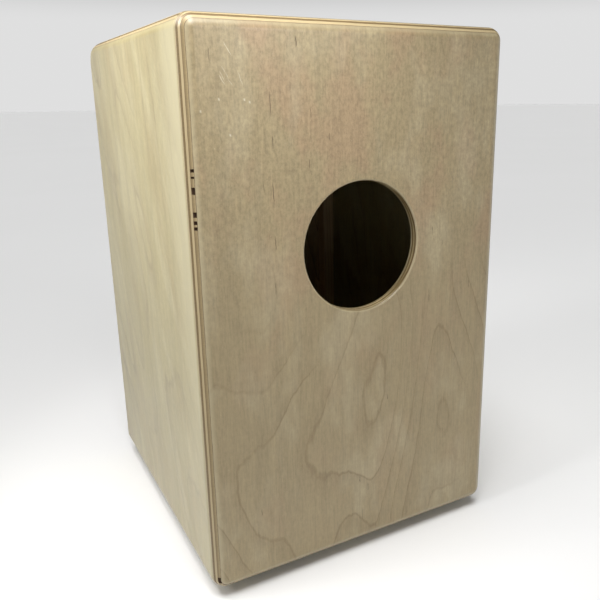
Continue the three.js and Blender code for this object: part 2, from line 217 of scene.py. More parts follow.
class Graph:
    """A material's nodes, written as expressions of sockets and numbers."""

    def __init__(self, name):
        self.material = bpy.data.materials.new(name)
        self.material.use_nodes = True
        self.tree = self.material.node_tree
        self.tree.nodes.clear()
        coordinates = self.node("ShaderNodeTexCoord")
        self.metres = coordinates.outputs["Object"]
        self.place = self.vector_math("SCALE", self.metres, scale=1 / MM)
        self.at = dict(zip("XYZ", self.split(self.place)))
        self.normal = dict(zip("XYZ", self.split(coordinates.outputs["Normal"])))

    def node(self, kind, **settings):
        made = self.tree.nodes.new(kind)
        for key, value in settings.items():
            setattr(made, key, value)
        return made

    def feed(self, socket, value):
        if isinstance(value, bpy.types.NodeSocket):
            self.tree.links.new(value, socket)
        elif isinstance(value, (tuple, list, Vector)) and len(value) == 3 and socket.type == "RGBA":
            socket.default_value = (*value, 1)
        else:
            socket.default_value = value

    def math(self, operation, a, b=0.0, c=0.0):
        made = self.node("ShaderNodeMath", operation=operation)
        for socket, value in zip(made.inputs, (a, b, c)):
            self.feed(socket, value)
        return made.outputs[0]

    def add(self, a, b):
        return self.math("ADD", a, b)

    def minus(self, a, b):
        return self.math("SUBTRACT", a, b)

    def times(self, a, b):
        return self.math("MULTIPLY", a, b)

    def vector_math(self, operation, a, b=None, scale=None):
        made = self.node("ShaderNodeVectorMath", operation=operation)
        self.feed(made.inputs[0], a)
        if b is not None:
            self.feed(made.inputs[1], b)
        if scale is not None:
            self.feed(made.inputs["Scale"], scale)
        return made.outputs[0]

    def split(self, vector):
        made = self.node("ShaderNodeSeparateXYZ")
        self.feed(made.inputs[0], vector)
        return list(made.outputs)

    def vector(self, x, y, z):
        made = self.node("ShaderNodeCombineXYZ")
        for socket, value in zip(made.inputs, (x, y, z)):
            self.feed(socket, value)
        return made.outputs[0]

    def between(self, value, low, high, out_low=0.0, out_high=1.0):
        """Turns smoothly from out_low at low to out_high at high."""
        made = self.node("ShaderNodeMapRange", interpolation_type="SMOOTHSTEP")
        for key, v in (("Value", value), ("From Min", low), ("From Max", high),
                       ("To Min", out_low), ("To Max", out_high)):
            self.feed(made.inputs[key], v)
        return made.outputs[0]

    def mix(self, factor, a, b):
        made = self.node("ShaderNodeMix", data_type="FLOAT")
        self.feed(made.inputs[0], factor)
        self.feed(made.inputs[2], a)
        self.feed(made.inputs[3], b)
        return made.outputs[0]

    def colour(self, factor, a, b, blend="MIX"):
        made = self.node("ShaderNodeMix", data_type="RGBA", blend_type=blend)
        self.feed(made.inputs[0], factor)
        self.feed(made.inputs[6], a)
        self.feed(made.inputs[7], b)
        return made.outputs[2]

    def shade(self, colour, amount):
        """A colour made lighter or darker by a factor round one."""
        return self.vector_math("SCALE", colour, scale=amount)

    def noise(self, vector, scale=1.0, detail=2.0, rough=0.5):
        made = self.node("ShaderNodeTexNoise")
        self.feed(made.inputs["Vector"], vector)
        for key, value in (("Scale", scale), ("Detail", detail), ("Roughness", rough)):
            self.feed(made.inputs[key], value)
        return made.outputs[0]

    def finish(self, colour, roughness, height=None, bump=0.05 * MM, strength=0.5, **settings):
        shader = self.node("ShaderNodeBsdfPrincipled")
        self.feed(shader.inputs["Base Color"], colour)
        self.feed(shader.inputs["Roughness"], roughness)
        for key, value in settings.items():
            shader.inputs[key.replace("_", " ")].default_value = value
        if height is not None:
            made = self.node("ShaderNodeBump")
            self.feed(made.inputs["Strength"], strength)
            self.feed(made.inputs["Distance"], bump)
            self.feed(made.inputs["Height"], height)
            self.tree.links.new(made.outputs[0], shader.inputs["Normal"])
        output = self.node("ShaderNodeOutputMaterial")
        self.tree.links.new(shader.outputs[0], output.inputs[0])
        return self.material


# ---------------------------------------------------------------- plywood

# Thickness of a ply and of a glue line, in millimetres.
PLY = 1.9
GLUE = 0.12
TAPA_PLY = 1.0

# Each veneer's colours, as linear light, and how large and how strong its figure is. Heights are in
# millimetres above the floor. The paler rim colour is a painted highlight, laid on the rounded edges and
# along the side panels' fold.
REAR_LOOK = dict(base=(0.300, 0.236, 0.130), warm=(0.318, 0.220, 0.126), pale=(0.38, 0.32, 0.20),
                 line=(0.19, 0.135, 0.065), mark=(0.05, 0.028, 0.014), scratch=(0.58, 0.52, 0.40),
                 rim=(0.44, 0.385, 0.25),
                 rings=13.0, slant=0.0, patch=0.011, warmth=0.70, paleness=0.50,
                 fibre=0.09, streak=0.06, mottle=0.17, warm_above=290, lines_below=270)
SIDE_LOOK = dict(base=(0.338, 0.284, 0.136), warm=(0.312, 0.248, 0.114), pale=(0.380, 0.328, 0.175),
                 line=(0.22, 0.165, 0.080), rim=(0.49, 0.435, 0.265),
                 rings=9.0, slant=0.45, patch=0.007, warmth=0.9, paleness=0.9,
                 fibre=0.09, streak=0.07, mottle=0.07, warm_above=0, lines_below=0)
TAPA_LOOK = dict(base=(0.400, 0.290, 0.150), warm=(0.380, 0.250, 0.120), pale=(0.46, 0.35, 0.20),
                 line=(0.20, 0.120, 0.050), rim=(0.42, 0.365, 0.20),
                 rings=16.0, slant=0.0, patch=0.002, warmth=0.7, paleness=0.5,
                 fibre=0.12, streak=0.13, mottle=0.04, warm_above=0, lines_below=0)
CORE_LONG = (0.43, 0.340, 0.190)
CORE_END = (0.140, 0.092, 0.034)
GLUE_LINE = (0.065, 0.034, 0.011)
# Near-black brown painted inside the gaps in a ply, as their shade.
VOID_SHADE = (0.050, 0.024, 0.009)


def stretched(g, across, along, per_across, per_along, seed, detail=2.0, rough=0.5):
    """Noise drawn out along the grain. Sizes are features per millimetre."""
    return g.noise(g.vector(g.times(across, per_across), g.times(along, per_along), seed), 1.0, detail, rough)


def figure(g, across, along, look, seed):
    """The face veneer: patches of tone, growth lines, fibres and pores. Returns colour and relief."""
    shifted = g.add(across, g.times(along, look["slant"]))
    warm = g.between(stretched(g, shifted, along, 0.020, look["patch"], seed, 3.0, 0.6), 0.46, 0.64)
    pale = g.between(stretched(g, shifted, along, 0.026, look["patch"], seed + 7.3, 3.0, 0.6), 0.46, 0.68)
    if look["warm_above"]:
        warm = g.times(warm, g.between(along, look["warm_above"] - 110, look["warm_above"] + 60, 0.35, 1.0))

    wobble = stretched(g, across, along, 0.10, 0.03, seed, 2.0)
    field = g.times(stretched(g, shifted, along, 0.0085, 0.0026, seed + 3.1, 1.0, 0.35), look["rings"])
    phase = g.math("FRACT", g.add(field, g.times(wobble, 0.22)))
    line = g.between(g.math("ABSOLUTE", g.minus(phase, 0.5)), 0.050, 0.004)
    fade = g.times(g.between(phase, 0.5, 0.505), g.between(phase, 0.92, 0.5))
    shown = g.between(stretched(g, across, along, 0.014, 0.005, seed + 9, 1.0), 0.30, 0.58)
    if look["lines_below"]:
        below = g.between(along, look["lines_below"] + 60, look["lines_below"] - 40, 0.12, 1.0)
        shown = g.times(shown, below)

    streak = stretched(g, across, along, 0.10, 0.005, seed + 5, 4.0, 0.6)
    mottle = stretched(g, shifted, along, 0.30, 0.20, seed + 6, 4.0, 0.75)
    fibre = stretched(g, across, along, 0.60, 0.05, seed, 4.0, 0.7)
    dash = g.between(stretched(g, across, along, 0.75, 0.15, seed + 2, 2.0), 0.60, 0.74)
    fleck = g.between(stretched(g, across, along, 0.75, 0.50, seed + 4, 2.0), 0.62, 0.76)

    tone = g.colour(g.times(warm, look["warmth"]), look["base"], look["warm"])
    tone = g.colour(g.times(pale, look["paleness"]), tone, look["pale"])
    tone = g.colour(g.times(fleck, 0.45), tone, look["pale"])
    tone = g.colour(g.times(g.times(line, shown), 0.50), tone, look["line"])
    tone = g.colour(g.times(g.times(fade, shown), 0.24), tone, look["line"])
    tone = g.colour(g.times(dash, 0.22), tone, look["line"])
    calm = g.between(along, look["lines_below"] - 60, look["lines_below"] + 120, 0.35, 1.0)
    for part, swing, amount in ((fibre, "fibre", 1.0), (streak, "streak", 1.0), (mottle, "mottle", calm)):
        change = g.between(part, 0.30, 0.70, -look[swing], look[swing])
        tone = g.shade(tone, g.add(1.0, g.times(change, amount)))
    relief = g.minus(fibre, g.times(dash, 0.6))
    return tone, relief


def natural_marks(g, x, z, tone, marks, colour):
    """Short thin marks in the veneer. Each is (x, low z, high z, half width, strength, lean)."""
    drift = g.times(g.minus(g.noise(g.vector(0.0, g.times(z, 0.15), 3.0), 1.0, 2.0), 0.5), 1.6)
    total = None
    for mark_x, low, high, half, strength, lean in marks:
        middle = (low + high) / 2
        line = g.math("MULTIPLY_ADD", g.minus(z, middle), lean, mark_x)
        off = g.math("ABSOLUTE", g.minus(g.add(x, drift), line))
        width = g.between(off, half, half * 0.2)
        length = g.between(g.math("ABSOLUTE", g.minus(z, middle)), (high - low) / 2, (high - low) * 0.2)
        one = g.times(g.times(width, length), strength)
        total = one if total is None else g.math("MAXIMUM", total, one)
    gaps = g.noise(g.vector(g.times(x, 0.8), g.times(z, 0.25), 8.0), 1.0, 2.0)
    broken = g.between(gaps, 0.3, 0.6, 0.45, 1.0)
    return g.colour(g.times(total, broken), tone, colour)


def plywood(name, outward, grain, look, seed, ply=PLY, plies=5, marks=(), scratches=(),
            fold_highlight=None):
    """Crossed plies, by depth under the outer face: long grain, end grain and glue lines.
    Outward is the face's axis, its sign along it and its place on it."""
    g = Graph(name)
    axis, sign, level = outward
    cross = ({"X", "Y", "Z"} - {axis, grain}).pop()
    depth = g.times(g.minus(level / MM, g.at[axis]), sign)
    waver = g.times(g.minus(g.noise(g.place, 0.05, 2.0), 0.5), 0.35)
    layer = g.math("DIVIDE", g.add(depth, waver), ply)
    index = g.math("MINIMUM", g.math("MAXIMUM", g.math("FLOOR", layer), 0.0), plies - 1.0)
    veneer = g.math("MAXIMUM", g.math("LESS_THAN", index, 0.5), g.math("GREATER_THAN", index, plies - 1.5))
    turned = g.math("MODULO", index, 2.0)
    along = g.mix(turned, g.at[grain], g.at[cross])
    across = g.mix(turned, g.at[cross], g.at[grain])
    facing = g.math("ABSOLUTE", g.mix(turned, g.normal[grain], g.normal[cross]))
    end = g.between(facing, 0.30, 0.85)

    face, relief = figure(g, g.at[cross], g.at[grain], look, seed)
    if marks:
        face = natural_marks(g, g.at[cross], g.at[grain], face, marks, look["mark"])
    if scratches:
        face = natural_marks(g, g.at[cross], g.at[grain], face, scratches, look["scratch"])

    # A painted highlight along the side panels' fold with the rear panel, paler towards the rear panel and
    # stronger higher up.
    if fold_highlight:
        rim, start, stop = fold_highlight
        upper = g.between(g.at["Z"], *FOLD_HIGHLIGHT_HEIGHTS, 0.25, 0.75)
        face = g.colour(g.times(g.between(g.at[rim], start, stop), upper), face, look["rim"])

    tint = g.noise(g.vector(g.times(index, 3.7), seed, 0.5), 1.0, 0.0)
    drawn = g.vector(g.times(across, 1.2), g.times(along, 0.03), g.times(depth, 0.8))
    core_fibre = g.noise(drawn, 1.0, 3.0, 0.6)
    core = g.shade(CORE_LONG, g.mix(core_fibre, 0.82, 1.18))
    core = g.shade(core, g.between(tint, 0.3, 0.7, 0.86, 1.12))
    even = g.vector(*(g.times(g.at[a], 2.2) for a in "XYZ"))
    speck = g.noise(even, 1.0, 2.0)
    band = g.noise(g.vector(g.times(across, 0.5), g.times(depth, 0.3), seed), 1.0, 2.0)
    ends = g.shade(CORE_END, g.mix(speck, 0.55, 1.45))
    ends = g.shade(ends, g.mix(band, 0.75, 1.3))
    inside = g.colour(end, core, ends)
    # The roundovers, where the face turns away from its axis, take the paler rim colour: a painted highlight
    # along every rounded edge.
    tilt = g.math("ABSOLUTE", g.normal[axis])
    face = g.colour(g.between(tilt, 0.995, 0.90, 0.0, 0.40), face, look["rim"])
    face_end = g.colour(g.times(end, 0.55), face, ends)
    tone = g.colour(veneer, inside, face_end)

    part = g.math("FRACT", layer)
    near = g.times(g.math("MINIMUM", part, g.minus(1.0, part)), ply)
    glue = g.between(near, GLUE * 1.6, GLUE * 0.4)
    glue = g.times(glue, g.between(depth, 0.6, 0.9))
    glue = g.times(glue, g.between(depth, plies * ply - 0.6, plies * ply - 0.9))
    spread = g.noise(g.vector(g.times(along, 0.08), g.times(across, 0.3), depth), 1.0, 2.0)
    patchy = g.between(spread, 0.3, 0.6, 0.5, 1.0)
    tone = g.colour(g.times(g.times(glue, patchy), 0.8), tone, GLUE_LINE)

    inner = g.minus(1.0, veneer)
    height = g.mix(inner, relief, g.times(core_fibre, 1.5))
    height = g.minus(height, g.times(glue, 0.8))
    haze = g.noise(g.vector(g.times(g.at[cross], 0.03), g.times(g.at[grain], 0.012), seed + 1), 1.0, 3.0)
    roughness = g.add(g.mix(haze, 0.26, 0.36), g.times(g.times(end, inner), 0.15))
    return g.finish(tone, roughness, height, bump=0.06 * MM, strength=0.35)


def solid_wood(name, grain, tone, dark, seed, ring_pitch=3.0, flecks=0.0):
    """A sawn batten: growth rings along its length, and end grain at its ends."""
    g = Graph(name)
    others = [a for a in "XYZ" if a != grain]
    along = g.at[grain]
    a, b = g.at[others[0]], g.at[others[1]]
    bend = g.times(g.noise(g.vector(g.times(along, 0.006), seed, 0.0), 1.0, 1.0), 14.0)
    centre = g.math("SQRT", g.add(g.math("POWER", g.add(a, g.add(bend, 31.0 + seed)), 2.0),
                                  g.math("POWER", g.add(b, 24.0 - seed), 2.0)))
    waver = g.times(g.noise(g.vector(g.times(a, 0.2), g.times(b, 0.2), g.times(along, 0.01)), 1.0, 2.0), 1.5)
    phase = g.math("FRACT", g.math("DIVIDE", g.add(centre, waver), ring_pitch))
    late = g.math("POWER", phase, 3.0)
    fibre = g.noise(g.vector(g.times(a, 1.6), g.times(b, 1.6), g.times(along, 0.05)), 1.0, 3.0, 0.6)
    rays = g.noise(g.vector(g.times(a, 1.4), g.times(b, 1.4), g.times(along, 0.4)), 1.0, 1.0)
    fleck = g.between(rays, 0.6, 0.7)
    colour = g.colour(g.times(late, 0.55), tone, dark)
    colour = g.colour(g.times(fleck, flecks), colour, dark)
    colour = g.shade(colour, g.mix(fibre, 0.86, 1.14))
    end = g.between(g.math("ABSOLUTE", g.normal[grain]), 0.5, 0.9)
    colour = g.shade(colour, g.mix(end, 1.0, 0.66))
    return g.finish(colour, g.mix(fibre, 0.55, 0.75), fibre, bump=0.08 * MM, strength=0.5)


def rubber():
    """Matte moulded rubber, dusty in patches and at its foot."""
    g = Graph("rubber")
    grain = g.noise(g.place, 2.2, 3.0, 0.6)
    dust = g.between(g.noise(g.place, 0.16, 3.0, 0.6), 0.45, 0.75)
    low = g.between(g.at["Z"], 2.0, 0.0)
    colour = g.colour(g.times(dust, 0.35), (0.022, 0.022, 0.024), (0.075, 0.07, 0.065))
    colour = g.colour(g.times(low, 0.5), colour, (0.09, 0.085, 0.078))
    return g.finish(colour, g.mix(grain, 0.68, 0.9), grain, bump=0.08 * MM, strength=0.4)


def metal(name, colour, worn, low, high):
    """Plated or blackened steel with fine turning marks and a little wear."""
    g = Graph(name)
    smear = g.noise(g.place, 0.6, 3.0, 0.6)
    fine = g.noise(g.place, 6.0, 2.0, 0.7)
    rubbed = g.between(g.noise(g.place, 0.9, 4.0, 0.7), 0.55, 0.75)
    tone = g.colour(g.times(rubbed, 0.5), colour, worn)
    return g.finish(tone, g.mix(smear, low, high), fine, bump=0.02 * MM, strength=0.3, Metallic=1.0)


# The rear face's broken line of dark streaks, and the middle of its scratched patch, in
# millimetres.
STREAK_LINE = 83
STREAK_LINE_TOP, STREAK_LINE_FOOT = 435, 270
SCRATCHED_X = HALF_WIDTH / MM - 38
SCRATCHED_Z = TOP / MM - 38


def rear_streaks():
    """Mineral streaks: one broken line of them beside the hole, and short ones about the face."""
    rng = random.Random(12)
    streaks = []
    head = STREAK_LINE_TOP
    while head > STREAK_LINE_FOOT:
        foot = head - rng.uniform(13, 28)
        streaks.append((STREAK_LINE + rng.uniform(-2, 2), foot, head, 0.55, rng.uniform(0.6, 0.85), 0.02))
        head = foot - rng.uniform(10, 25)
    reach = HALF_WIDTH / MM - 18
    for _ in range(18):
        length = rng.uniform(5, 18)
        fall = rng.random() ** 1.5
        head = TOP / MM - 12 - fall * ((TOP - BASE) / MM - 50)
        streaks.append((rng.uniform(-reach, reach), head - length, head, rng.uniform(0.45, 0.7),
                        rng.uniform(0.5, 0.85), rng.uniform(0, 0.05)))
    return streaks


def rear_scratches():
    """Pale marks in the lacquer: a patch of slanting scratches near the top, and a few flecks."""
    rng = random.Random(5)
    scratches = []
    for _ in range(6):
        x, z = SCRATCHED_X + rng.uniform(-9, 9), SCRATCHED_Z + rng.uniform(-14, 14)
        scratches.append((x, z, z + rng.uniform(4, 13), 0.5, rng.uniform(0.4, 0.75), rng.uniform(0.25, 0.75)))
    for _ in range(5):
        x, z = rng.uniform(90, HALF_WIDTH / MM - 12), rng.uniform(340, 430)
        scratches.append((x, z, z + 2.5, 1.0, 0.75, 0.1))
    return scratches


# The side panels carry a painted highlight along their fold with the rear panel, paler towards the rear panel
# and stronger higher up: axis, where it starts and ends, and the heights that it grows between, in
# millimetres.
FOLD_HIGHLIGHT = ("Y", REAR_INNER / MM - 60, REAR_INNER / MM + 2)
FOLD_HIGHLIGHT_HEIGHTS = (60.0, 360.0)

rear_ply = plywood("rear_plywood", ("Y", 1, REAR), "Z", REAR_LOOK, 2.0, marks=rear_streaks(),
                   scratches=rear_scratches())
left_ply = plywood("left_plywood", ("X", 1, HALF_WIDTH), "Z", SIDE_LOOK, 11.0, fold_highlight=FOLD_HIGHLIGHT)
right_ply = plywood("right_plywood", ("X", -1, -HALF_WIDTH), "Z", SIDE_LOOK, 17.0, fold_highlight=FOLD_HIGHLIGHT)
top_ply = plywood("top_plywood", ("Z", 1, TOP), "X", SIDE_LOOK, 23.0)
bottom_ply = plywood("bottom_plywood", ("Z", -1, BASE), "X", SIDE_LOOK, 29.0)
tapa_ply = plywood("tapa_plywood", ("Y", -1, FRONT), "Z", TAPA_LOOK, 37.0, ply=TAPA_PLY,
                   plies=3)


def painted_void_shade():
    """The inside of a gap in a ply: torn fibre, with the gap's shade painted in as near-black brown."""
    g = Graph("painted_void_shade")
    fibre = g.noise(g.place, 1.6, 3.0, 0.7)
    return g.finish(g.shade(VOID_SHADE, g.mix(fibre, 0.4, 1.6)), 0.9, fibre, bump=0.2 * MM, strength=0.8)


# ---------------------------------------------------------------- the plywood box


def outline(inset):
    """Points round the body seen from behind, moved inwards by inset."""
    radius = CORNER_RADIUS - inset
    points = []
    for quarter, (sx, sz) in enumerate(((1, 1), (-1, 1), (-1, -1), (1, -1))):
        x = sx * (HALF_WIDTH - CORNER_RADIUS)
        z = TOP - CORNER_RADIUS if sz > 0 else BASE + CORNER_RADIUS
        for step in range(CORNER_STEPS + 1):
            angle = (quarter + step / CORNER_STEPS) * math.pi / 2
            points.append((x + radius * math.cos(angle), z + radius * math.sin(angle)))
    return points


def envelope(name, front_radius):
    """The body's outer form, with quarter-rounds at the rear face and at the front face.
    With no front radius it runs past the front, for panels that stop behind the tapa."""
    rings = []
    if front_radius:
        for step in range(ROUNDOVER_STEPS + 1):
            angle = (1 - step / ROUNDOVER_STEPS) * math.pi / 2
            inset = front_radius * (1 - math.cos(angle))
            rings.append((FRONT + front_radius * (1 - math.sin(angle)), inset))
    else:
        rings.append((FRONT - MARGIN, 0))
    for step in range(ROUNDOVER_STEPS + 1):
        angle = step / ROUNDOVER_STEPS * math.pi / 2
        inset = REAR_ROUNDOVER * (1 - math.cos(angle))
        rings.append((REAR - REAR_ROUNDOVER * (1 - math.sin(angle)), inset))
    return loft(name, [[(x, y, z) for x, z in outline(inset)] for y, inset in rings])


def nose_form():
    """The body seen from its side, with the round nose at the top of the tapa."""
    ring = [(FRONT, BASE - MARGIN), (REAR + MARGIN, BASE - MARGIN), (REAR + MARGIN, TOP)]
    for step in range(NOSE_STEPS + 1):
        angle = (1 + step / NOSE_STEPS) * math.pi / 2
        y = FRONT + NOSE_RADIUS * (1 + math.cos(angle))
        ring.append((y, TOP - NOSE_RADIUS * (1 - math.sin(angle))))
    wide = HALF_WIDTH + MARGIN
    return loft("nose_form", [[(x, y, z) for y, z in ring] for x in (-wide, wide)])


def carcass_piece(name, low, high, form, nose):
    """A block trimmed to the body's form and, where it reaches the front, to the nose."""
    piece = block(name, low, high)
    boolean(piece, form, "INTERSECT", keep=True)
    if nose is not None:
        boolean(piece, nose, "INTERSECT", keep=True)
    return piece


def sound_hole():
    """The cutter for the sound hole, with a small roundover at the outer face."""
    reach = 5 * MM
    profile = [(0, -PANEL - reach), (HOLE_RADIUS, -PANEL - reach)]
    for step in range(HOLE_EDGE_STEPS + 1):
        angle = step / HOLE_EDGE_STEPS * math.pi / 2
        radius = HOLE_RADIUS + HOLE_ROUNDOVER * (1 - math.cos(angle))
        profile.append((radius, -HOLE_ROUNDOVER * (1 - math.sin(angle))))
    profile += [(HOLE_RADIUS + HOLE_ROUNDOVER, reach), (0, reach)]
    cutter = lathe("sound_hole", profile, HOLE_STEPS)
    cutter.data.transform(Matrix.Translation((0, REAR, HOLE_Z)) @ pointing((0, 1, 0)))
    return cutter


# Corners of a gap before they are torn, as parts of its half thickness and half length.
VOID_OUTLINE = ((-1, -1), (-0.4, -1), (0.3, -1), (1, -1), (1, 0.2), (1, 1), (0.2, 1), (-0.5, 1),
                (-1, 1), (-1, 0))


def ragged_void(name, centre, half, seed):
    """A gap where a core ply's strips don't meet, with torn ends."""
    rng = random.Random(seed)
    rings = []
    for side in (-1, 1):
        ring = []
        for a, b in VOID_OUTLINE:
            y = centre[1] + half[1] * a * rng.uniform(0.86, 1.0)
            z = centre[2] + half[2] * b * rng.uniform(0.82, 1.05)
            ring.append((centre[0] + side * half[0], y, z))
        rings.append(ring)
    return loft(name, rings)


# Gaps in the second ply where it shows on the rear left edge, each as its height above the base and its half
# length, in millimetres. Their source is still an open point.
EDGE_VOIDS = ((368.5, 1.3), (363.5, 0.9), (353.5, 2.8), (335.5, 2.2), (329.5, 1.5), (325, 1.3),
              (11.5, 3.2))
VOID_DEPTH = 8 * MM
VOID_HALF_THICKNESS = 0.95 * MM
PLY_TWO = REAR - 1.5 * PLY * MM

# A thin slit beside the lowest gap.
SLIT_CENTRE = (HALF_WIDTH - 12 * MM, PLY_TWO + 0.7 * MM, BASE + 5.5 * MM)
SLIT_HALF = (6 * MM, 0.3 * MM, 2.5 * MM)
SLIT_SEED = 9

form = envelope("form", 0)
nose = nose_form()

void_shade_material = painted_void_shade()
rear_panel = carcass_piece("rear_panel_fine", (-HALF_WIDTH - SPARE, REAR_INNER, BASE - SPARE),
                           (HALF_WIDTH + SPARE, REAR + SPARE, TOP + SPARE), form, None)
boolean(rear_panel, sound_hole(), "DIFFERENCE")
wear_material(rear_panel, rear_ply)
for number, (height, half) in enumerate(EDGE_VOIDS):
    centre = (HALF_WIDTH - VOID_DEPTH, PLY_TWO, BASE + height * MM)
    void = ragged_void("void", centre, (VOID_DEPTH, VOID_HALF_THICKNESS, half * MM), number)
    wear_material(void, void_shade_material)
    boolean(rear_panel, void, "DIFFERENCE")
slit = ragged_void("slit", SLIT_CENTRE, SLIT_HALF, SLIT_SEED)
wear_material(slit, void_shade_material)
boolean(rear_panel, slit, "DIFFERENCE")
smooth_shading(rear_panel)
place_piece(rear_panel, "rear_panel", "cabinet")

for side, sign, material in (("left", 1, left_ply), ("right", -1, right_ply)):
    low_x, high_x = sorted((sign * INNER_X, sign * (HALF_WIDTH + SPARE)))
    panel = carcass_piece(f"side_panel_{side}_fine", (low_x, TAPA_BACK, BASE - SPARE),
                          (high_x, REAR_INNER, TOP + SPARE), form, nose)
    smooth_shading(panel)
    place_piece(panel, f"side_panel_{side}", "cabinet", material)

for node, low_z, high_z, material in (("top_panel", TOP_INNER, TOP + SPARE, top_ply),
                                      ("bottom_panel", BASE - SPARE, BASE_INNER, bottom_ply)):
    panel = carcass_piece(f"{node}_fine", (-INNER_X, TAPA_BACK, low_z),
                          (INNER_X, REAR_INNER, high_z), form, nose)
    smooth_shading(panel)
    place_piece(panel, node, "cabinet", material)

# ---------------------------------------------------------------- screws

# Shank radius, length, head radius, head height and whether it is countersunk, in millimetres.
TAPA_SCREW = (1.6, 12, 3.4, 2, True)
BLOCK_SCREW = (1.8, 29, 3.6, 2.2, True)
FOOT_SCREW = (2, 14.5, 4.6, 2.4, False)
PLATE_SCREW = (1.3, 10.2, 2.6, 1.2, False)
# The thread's pitch and the length of the point, in millimetres.
THREAD_PITCH = 0.9
POINT = 2
SCREW_STEPS = 28
SCREW_EDGE = 0.05 * MM


def screw_template(name, shank, length, head, rise, countersunk):
    """A screw along -Z from the top of its head, with a thread and a cross recess."""
    profile = [(0, -length), (0.3 * shank, -length + 0.5), (0.8 * shank, -length + POINT)]
    turns = int((length - rise - 2.5) / THREAD_PITCH)
    for turn in range(turns):
        z = -length + POINT + turn * THREAD_PITCH
        profile += [(0.8 * shank, z + 0.2), (shank, z + 0.45), (0.8 * shank, z + 0.7)]
    if countersunk:
        profile += [(0.8 * shank, -rise), (0.97 * head, -0.35), (head, -0.22), (head, -0.1),
                    (0.96 * head, 0)]
    else:
        profile += [(0.8 * shank, -rise), (0.96 * head, -rise), (head, -0.88 * rise),
                    (0.97 * head, -0.55 * rise), (0.85 * head, -0.25 * rise),
                    (0.62 * head, -0.05 * rise), (0.4 * head, 0)]
    profile.append((0, 0))
    screw = lathe(name, [(r * MM, z * MM) for r, z in profile], SCREW_STEPS)
    deep = min(0.62 * rise, 1.3)
    for turn in range(2):
        arm, thin = 0.62 * head, 0.17 * head
        rings = []
        for z, k in ((-deep, 0.55), (0.5, 1.12)):
            corner = [(-arm * k, -thin), (arm * k, -thin), (arm * k, thin), (-arm * k, thin)]
            rings.append([(x * MM, y * MM, z * MM) for x, y in corner])
        cutter = loft("recess", rings)
        cutter.data.transform(Matrix.Rotation(turn * math.pi / 2, 4, "Z"))
        boolean(screw, cutter, "DIFFERENCE")
    smooth_shading(screw, edge=SCREW_EDGE, angle=40)
    return screw


def head_centre(node, direction):
    """The middle of the end of a node's box that faces along a direction."""
    low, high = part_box(node)
    centre = (low + high) / 2
    reach = Vector(abs(v) for v in direction)
    return centre + Vector((high - low) * 0.5).dot(reach) * Vector(direction)


def add_screws(kind, spec, nodes, direction_of, body, material):
    """One kind of screw in place of its CAD nodes, each turned to an angle of its own."""
    template = screw_template(f"{kind}_template", *spec)
    rng = random.Random(kind)
    for node in nodes:
        direction = direction_of(node)
        piece = bpy.data.objects.new(f"{node}_fine", template.data.copy())
        scene.collection.objects.link(piece)
        spin = Matrix.Rotation(rng.uniform(0, math.pi), 4, "Z")
        piece.data.transform(Matrix.Translation(head_centre(node, direction)) @ pointing(direction) @ spin)
        place_piece(piece, node, body, material)
    bpy.data.objects.remove(template)


def inwards(node):
    """The way that a snare block screw's head faces, towards the middle of the box."""
    return (-1, 0, 0) if "_left" in node else (1, 0, 0)


black_steel = metal("black_steel", (0.035, 0.035, 0.038), (0.12, 0.12, 0.125), 0.34, 0.5)
zinc_steel = metal("zinc_steel", (0.60, 0.60, 0.575), (0.48, 0.46, 0.42), 0.22, 0.42)
snare_steel = metal("snare_steel", (0.66, 0.655, 0.64), (0.5, 0.49, 0.47), 0.16, 0.30)

NODES = sorted(frame["nodes"])
TAPA_SCREWS = [n for n in NODES if n.startswith("tapa_screw")]
add_screws("tapa_screw", TAPA_SCREW, TAPA_SCREWS, lambda node: (0, -1, 0),
           "cabinet", black_steel)
add_screws("foot_screw", FOOT_SCREW, [n for n in NODES if n.startswith("foot_screw")],
           lambda node: (0, 0, -1), "cabinet", zinc_steel)
add_screws("block_screw", BLOCK_SCREW, [n for n in NODES if n.startswith("snare_block_screw")],
           inwards, "cabinet", zinc_steel)
add_screws("plate_screw", PLATE_SCREW, [n for n in NODES if n.startswith("snare_screw")],
           lambda node: (0, -1, 0), "snare_carriage", zinc_steel)

# ---------------------------------------------------------------- tapa

tapa_form = envelope("tapa_form", TAPA_ROUNDOVER)
tapa = carcass_piece("tapa_fine", (-HALF_WIDTH - SPARE, FRONT - SPARE, BASE - SPARE),
                     (HALF_WIDTH + SPARE, TAPA_BACK, TOP + SPARE), tapa_form, nose)
# The profile of a countersunk pocket, which leaves a hair's clearance round the screw.
shank, _, head, rise, _ = TAPA_SCREW
seat = [(0, -8), (shank + 0.1, -8), (shank + 0.1, -rise - 0.1), (head + 0.12, -0.3), (head + 0.12, -0.12),
        (head + 0.3, 0.02), (head + 0.3, 2), (0, 2)]
for node in TAPA_SCREWS:
    pocket = lathe("pocket", [(r * MM, z * MM) for r, z in seat], 40)
    pocket.data.transform(Matrix.Translation(head_centre(node, (0, -1, 0))) @ pointing((0, -1, 0)))
    boolean(tapa, pocket, "DIFFERENCE")
smooth_shading(tapa)
place_piece(tapa, "tapa", "cabinet", tapa_ply)
for helper in (form, tapa_form, nose):
    bpy.data.objects.remove(helper)

# ---------------------------------------------------------------- battens, blocks and bar


def eased_copy(node, edge):
    """The CAD solid with its edges eased, as a plane leaves them."""
    mesh = frame["nodes"][node].data.copy()
    piece = bpy.data.objects.new(f"{node}_fine", mesh)
    scene.collection.objects.link(piece)
    made = bmesh.new()
    made.from_mesh(mesh)
    bmesh.ops.remove_doubles(made, verts=made.verts, dist=SOLID_WELD)
    bmesh.ops.dissolve_limit(made, angle_limit=math.radians(1), verts=made.verts, edges=made.edges)
    made.to_mesh(mesh)
    made.free()
    smooth_shading(piece, edge=edge, angle=35, segments=3)
    return piece


